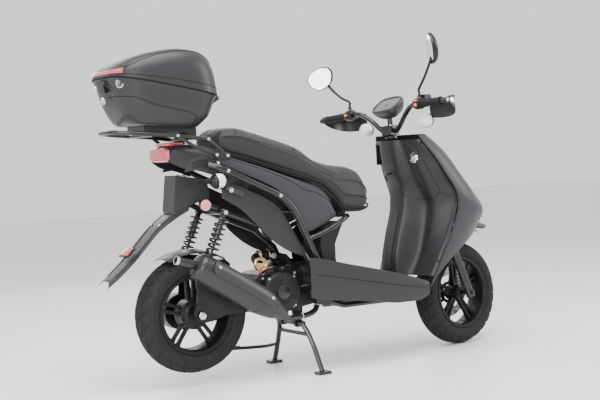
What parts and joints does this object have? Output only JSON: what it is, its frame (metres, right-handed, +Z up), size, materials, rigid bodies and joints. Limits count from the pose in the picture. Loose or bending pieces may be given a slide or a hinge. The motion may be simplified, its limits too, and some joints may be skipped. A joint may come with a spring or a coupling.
{
  "type": "moped scooter",
  "caption": "Petrol scooter with exposed side tubes, rear shocks, handguards, luggage rack and lockable top case, on its centre stand.",
  "frame": {"origin": "on the ground under the middle of the scooter's footprint", "axes": "+X forward along the scooter, +Y to the rider's left, +Z up; the bar rests turned 10 degrees to the left"},
  "size_m": [1.9823, 0.815, 1.4083],
  "materials": {
    "grey_plastic": "satin moulded plastic",
    "black_plastic": "fine-grained moulded plastic",
    "gloss_black": "gloss paint on steel tube",
    "black_steel": "satin paint",
    "tyre": "worn tread",
    "rubber": "ribbed",
    "vinyl": "textured vinyl",
    "steel": "turned",
    "alloy": "dark paint on a casting",
    "red_lens": "clear red lens",
    "clear_lens": "clear lens",
    "amber": "gloss",
    "red": "gloss"
  },
  "bodies": {
    "frame": {"main_frame": "black_steel", "side_tube_left": "gloss_black", "side_tube_right": "gloss_black", "side_panel_left": "grey_plastic", "side_panel_right": "grey_plastic", "lower_panel_left": "grey_plastic", "lower_panel_right": "grey_plastic", "floor_skirt_left": "grey_plastic", "floor_skirt_right": "grey_plastic", "floorboard": "black_plastic", "underseat_cover": "grey_plastic", "front_shell": "grey_plastic", "headlight_lens": "clear_lens", "leg_shield": "black_plastic", "storage_bin": "black_plastic", "tail_cover": "black_plastic", "tail_light": "red_lens", "rear_mudguard": "black_plastic", "luggage_rack": "black_steel", "case_base": "black_plastic"},
    "steering": {"fork_crown": "black_steel", "front_fender": "grey_plastic", "handlebar": "gloss_black", "grip_left": "rubber", "switch_housing_left": "black_plastic", "switch_housing_right": "black_plastic", "handguard_left": "black_plastic", "handguard_right": "black_plastic", "instrument_cluster": "black_plastic"},
    "fork": {"fork_slider_left": "alloy", "fork_slider_right": "alloy"},
    "front_wheel": {"front_tyre": "tyre", "front_rim": "alloy", "front_brake_disc": "steel"},
    "swing_unit": {"engine": "alloy", "belt_case": "alloy", "muffler": "black_steel"},
    "rear_wheel": {"rear_tyre": "tyre", "rear_rim": "alloy"},
    "stand": {"centre_stand": "black_steel"},
    "kick": {"kick_lever": "black_steel"},
    "shock_left_body": {"shock_upper_left": "black_steel", "shock_spring_left": "black_steel"},
    "shock_left_rod": {"shock_lower_left": "black_steel"},
    "shock_right_body": {"shock_upper_right": "black_steel", "shock_spring_right": "black_steel"},
    "shock_right_rod": {"shock_lower_right": "black_steel"},
    "throttle": {"throttle_grip": "rubber"},
    "lever_left": {"brake_lever_left": "alloy"},
    "lever_right": {"brake_lever_right": "alloy"},
    "mirror_left": {"mirror_left": "black_plastic"},
    "mirror_right": {"mirror_right": "black_plastic"},
    "stop_switch": {"kill_switch": "red"},
    "start_button": {"start_button": "amber"},
    "signal_switch": {"signal_switch": "amber"},
    "ignition": {"ignition_lock": "steel"},
    "seat": {"seat_cushion": "vinyl", "seat_pan": "black_plastic"},
    "case_lid": {"case_lid": "grey_plastic"},
    "case_latch": {"case_latch": "black_plastic"}
  },
  "joints": [
    {"name": "steering", "type": "hinge", "parent": "frame", "child": "steering", "pos_m": [0.45948, 0, 0.90712], "axis": [-0.3746, 0, 0.9272], "range_deg": [-48, 28]},
    {"name": "fork_slide", "type": "slide", "parent": "steering", "child": "fork", "axis": [-0.3746, 0, 0.9272], "range_m": [0, 0.05], "stiffness_N_per_m": 8000, "springref_m": -0.03},
    {"name": "front_wheel_spin", "type": "hinge", "parent": "fork", "child": "front_wheel", "pos_m": [0.75765, 0.00434, 0.23486], "axis": [-0.161, 0.9848, -0.065], "continuous": true},
    {"name": "rear_suspension", "type": "hinge", "parent": "frame", "child": "swing_unit", "pos_m": [-0.067, 0, 0.3], "axis": [0, 1, 0], "range_deg": [0, 5], "stiffness_Nm_per_rad": 6000, "springref_deg": -1.15},
    {"name": "rear_wheel_spin", "type": "hinge", "parent": "swing_unit", "child": "rear_wheel", "pos_m": [-0.612, 0, 0.2925], "axis": [0, 1, 0], "continuous": true},
    {"name": "centre_stand_fold", "type": "hinge", "parent": "swing_unit", "child": "stand", "pos_m": [-0.142, 0, 0.205], "axis": [0, 1, 0], "range_deg": [0, 68]},
    {"name": "kick_lever_turn", "type": "hinge", "parent": "swing_unit", "child": "kick", "pos_m": [-0.252, 0, 0.3], "axis": [0, -1, 0], "range_deg": [0, 50], "stiffness_Nm_per_rad": 1, "springref_deg": -28.65},
    {"name": "shock_left_swing", "type": "hinge", "parent": "frame", "child": "shock_left_body", "pos_m": [-0.494, 0.112, 0.7], "axis": [0, 1, 0], "range_deg": [0, 1.5]},
    {"name": "shock_left_stroke", "type": "slide", "parent": "shock_left_body", "child": "shock_left_rod", "axis": [0.392, 0, 0.92], "range_m": [0, 0.05], "deforming": ["shock_spring_left"]},
    {"name": "shock_right_swing", "type": "hinge", "parent": "frame", "child": "shock_right_body", "pos_m": [-0.494, -0.112, 0.7], "axis": [0, 1, 0], "range_deg": [0, 1.5]},
    {"name": "shock_right_stroke", "type": "slide", "parent": "shock_right_body", "child": "shock_right_rod", "axis": [0.392, 0, 0.92], "range_m": [0, 0.05], "deforming": ["shock_spring_right"]},
    {"name": "throttle_twist", "type": "hinge", "parent": "steering", "child": "throttle", "pos_m": [0.44398, -0.30413, 1.11218], "axis": [0.0593, -0.9978, 0.0312], "range_deg": [0, 75], "stiffness_Nm_per_rad": 0.2, "springref_deg": -17.19},
    {"name": "brake_lever_left_pull", "type": "hinge", "parent": "steering", "child": "lever_left", "pos_m": [0.4055, 0.22878, 1.07824], "axis": [-0.0053, 0.0651, 0.9979], "range_deg": [0, 12], "stiffness_Nm_per_rad": 1, "springref_deg": -17.19},
    {"name": "brake_lever_right_pull", "type": "hinge", "parent": "steering", "child": "lever_right", "pos_m": [0.47726, -0.21018, 1.10724], "axis": [0.0053, -0.0651, -0.9979], "range_deg": [0, 12], "stiffness_Nm_per_rad": 1, "springref_deg": -17.19},
    {"name": "mirror_left_turn", "type": "hinge", "parent": "steering", "child": "mirror_left", "pos_m": [0.3708, 0.22506, 1.10787], "axis": [-0.0053, 0.0651, 0.9979], "range_deg": [-20, 20]},
    {"name": "mirror_right_turn", "type": "hinge", "parent": "steering", "child": "mirror_right", "pos_m": [0.44256, -0.21389, 1.13686], "axis": [-0.0053, 0.0651, 0.9979], "range_deg": [-20, 20]},
    {"name": "stop_switch_rock", "type": "hinge", "parent": "steering", "child": "stop_switch", "pos_m": [0.41896, -0.21876, 1.12152], "axis": [0.9869, 0.161, -0.0053], "range_deg": [0, 8]},
    {"name": "start_button_press", "type": "slide", "parent": "steering", "child": "start_button", "axis": [0.9869, 0.161, -0.0053], "range_m": [0, 0.003], "stiffness_N_per_m": 300, "springref_m": -0.002},
    {"name": "signal_switch_slide", "type": "slide", "parent": "steering", "child": "signal_switch", "axis": [-0.161, 0.9848, -0.065], "range_m": [-0.005, 0.005]},
    {"name": "ignition_turn", "type": "hinge", "parent": "frame", "child": "ignition", "pos_m": [0.472, -0.122, 0.872], "axis": [-0.8624, -0.4212, 0.2808], "range_deg": [0, 90]},
    {"name": "seat_open", "type": "hinge", "parent": "frame", "child": "seat", "pos_m": [0.13, 0, 0.64], "axis": [0, 1, 0], "range_deg": [0, 55]},
    {"name": "case_lid_open", "type": "hinge", "parent": "frame", "child": "case_lid", "pos_m": [-0.4805, 0, 1.166], "axis": [0, 1, 0], "range_deg": [0, 65]},
    {"name": "case_latch_lift", "type": "hinge", "parent": "frame", "child": "case_latch", "pos_m": [-0.9465, 0, 1.2375], "axis": [0, 1, 0], "range_deg": [0, 30], "stiffness_Nm_per_rad": 0.1, "springref_deg": -17.19}
  ],
  "couplings": [
    {"joint": "shock_left_swing", "follows": "rear_suspension", "ratio": 0.1256},
    {"joint": "shock_left_stroke", "follows": "rear_suspension", "m_per_rad": 0.5509},
    {"joint": "shock_right_swing", "follows": "rear_suspension", "ratio": 0.1256},
    {"joint": "shock_right_stroke", "follows": "rear_suspension", "m_per_rad": 0.5509}
  ]
}
